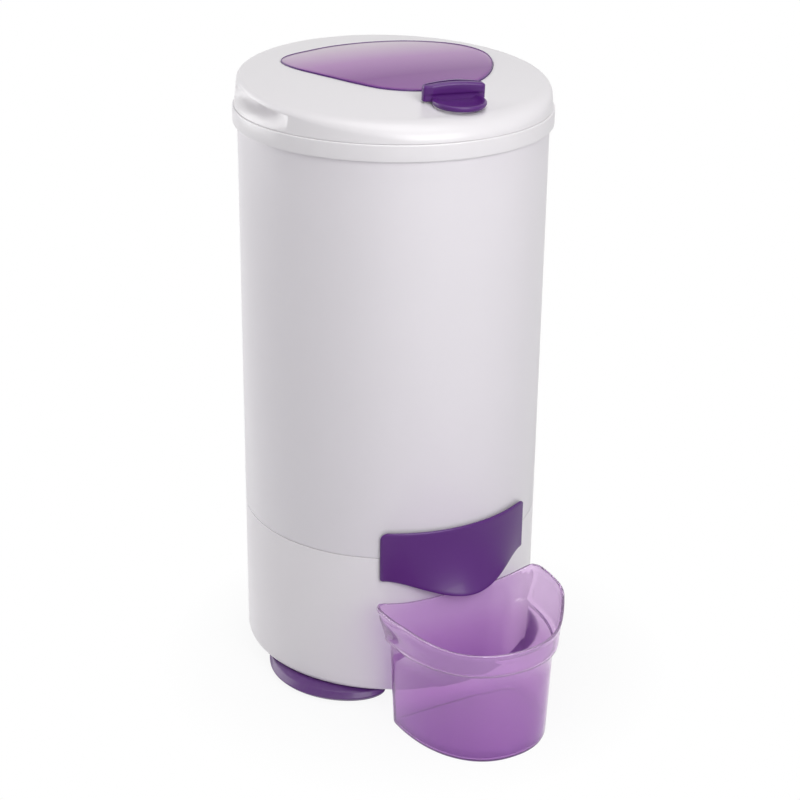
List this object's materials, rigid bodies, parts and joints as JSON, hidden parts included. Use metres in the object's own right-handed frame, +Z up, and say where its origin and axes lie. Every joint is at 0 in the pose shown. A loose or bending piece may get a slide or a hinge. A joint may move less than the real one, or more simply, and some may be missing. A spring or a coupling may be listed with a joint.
{
  "type": "laundry spin dryer",
  "caption": "Free-standing round laundry spin dryer with hinged windowed lid, turning lid lock, perforated spin drum, front drain spout and loose collecting jug.",
  "frame": {"origin": "on the floor, under the middle of the bounding box of machine and jug", "axes": "+Z up; -Y towards the front, where the spout and the jug are; +X to the right seen from the front"},
  "size_m": [0.345, 0.4902, 0.6925],
  "materials": {
    "casing_paint": "glossy white enamel",
    "white_plastic": "glossy white moulded plastic",
    "violet_plastic": "glossy deep violet moulded plastic",
    "violet_clear": "clear violet-tinted moulded plastic",
    "natural_plastic": "pale grey moulded plastic",
    "black_rubber": "matt rubber",
    "stainless": "brushed stainless steel",
    "steel": "zinc-plated steel",
    "cast_alloy": "die-cast, fine grain",
    "core_iron": "varnished laminations and windings",
    "dark_plastic": "dark moulded plastic"
  },
  "bodies": {
    "casing": {"base_housing": "white_plastic", "outer_casing": "casing_paint", "top_collar": "white_plastic", "spout_cover": "violet_plastic", "drain_nozzle": "natural_plastic", "water_tub": "natural_plastic", "shaft_seal": "black_rubber", "left_foot": "violet_plastic", "left_foot_pad": "black_rubber", "left_rubber_buffer": "black_rubber", "right_foot": "violet_plastic", "right_foot_pad": "black_rubber", "right_rubber_buffer": "black_rubber", "rear_foot": "violet_plastic", "rear_foot_pad": "black_rubber", "rear_rubber_buffer": "black_rubber", "motor_mount_plate": "steel", "motor_housing": "cast_alloy", "motor_end_cap": "cast_alloy", "motor_stator": "core_iron", "upper_bearing": "steel", "lower_bearing": "steel", "run_capacitor": "natural_plastic", "terminal_block": "dark_plastic", "brake_pivot_post": "steel", "brake_cable": "dark_plastic", "interlock_switch": "dark_plastic", "hinge_bracket": "white_plastic", "hinge_pin": "steel", "cord_gland": "dark_plastic"},
    "interlock": {"interlock_plunger": "dark_plastic"},
    "brake": {"brake_arm": "steel", "brake_lining": "black_rubber"},
    "drum": {"drum_shell": "stainless", "drum_base": "stainless", "drum_hub": "cast_alloy", "drum_rim_ring": "natural_plastic", "hub_nut": "steel", "drive_shaft": "steel", "motor_rotor": "core_iron", "cooling_fan": "dark_plastic", "brake_drum": "cast_alloy"},
    "lid": {"lid_shell": "white_plastic", "lid_window": "violet_clear", "lid_liner": "natural_plastic", "lid_seal": "black_rubber", "lid_hinge_leaf": "white_plastic"},
    "lock": {"lock_lever": "violet_plastic", "latch_spindle": "steel", "spindle_clip": "steel", "latch_tongue": "steel"},
    "jug": {"drain_jug": "violet_clear"}
  },
  "joints": [
    {"name": "lid_hinge", "type": "hinge", "parent": "casing", "child": "lid", "pos_m": [0, 0.2391, 0.655], "axis": [-1, 0, 0], "range_deg": [0, 100]},
    {"name": "lock_lever_turn", "type": "hinge", "parent": "lid", "child": "lock", "pos_m": [0.006, -0.0569, 0.67329], "axis": [0, -0.0666, 0.9978], "range_deg": [0, 60]},
    {"name": "interlock_press", "type": "slide", "parent": "casing", "child": "interlock", "axis": [0, 0, -1], "range_m": [0, 0.0026]},
    {"name": "brake_release", "type": "hinge", "parent": "casing", "child": "brake", "pos_m": [0.05828, 0.09209, 0.174], "axis": [0, 0, 1], "range_deg": [0, 6]},
    {"name": "drum_spin", "type": "hinge", "parent": "casing", "child": "drum", "pos_m": [0, 0.0611, 0.266], "axis": [0, 0, 1], "continuous": true},
    {"name": "jug_slide", "type": "slide", "parent": "casing", "child": "jug", "axis": [0, -1, 0], "range_m": [0, 0.25]}
  ],
  "couplings": [
    {"joint": "interlock_press", "follows": "lock_lever_turn", "m_per_rad": 0.00248},
    {"joint": "brake_release", "follows": "lock_lever_turn", "ratio": 0.0999}
  ]
}
